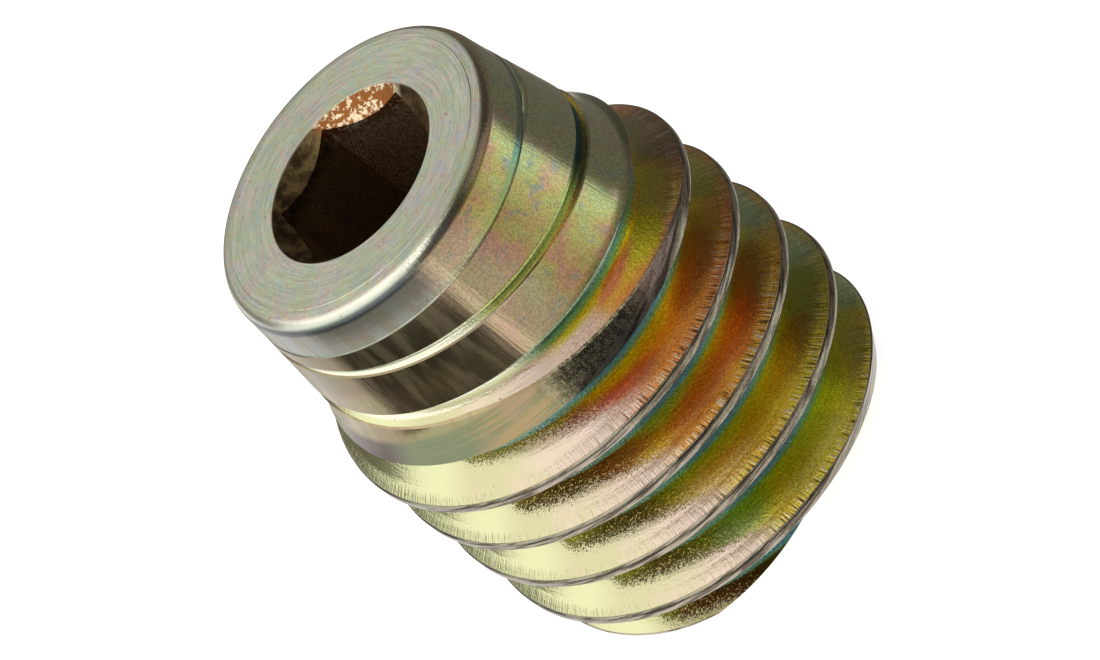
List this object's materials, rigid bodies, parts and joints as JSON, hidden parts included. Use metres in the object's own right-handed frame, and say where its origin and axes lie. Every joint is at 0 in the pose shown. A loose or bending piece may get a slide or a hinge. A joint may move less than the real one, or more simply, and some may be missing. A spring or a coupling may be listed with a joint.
{
  "type": "dog screw",
  "caption": "Short dog screw with a hexagon socket in its flat face, a tapered plain collar, and a coarse left-hand thread that runs out on the collar and tapers in at the tip.",
  "frame": {"origin": "centre of the flat tip, on the surface that the screw stands on", "axes": "+Z along the screw's axis, from the tip up to the socket face; one corner of the hexagon lies 20 degrees round from +X"},
  "size_m": [0.0112, 0.0112, 0.0135],
  "materials": {
    "yellow_zinc_steel": "turned steel with an iridescent yellow zinc plating, green to pink, satin on the face and bright on the thread"
  },
  "bodies": {
    "root": {"screw": "yellow_zinc_steel"}
  },
  "joints": []
}
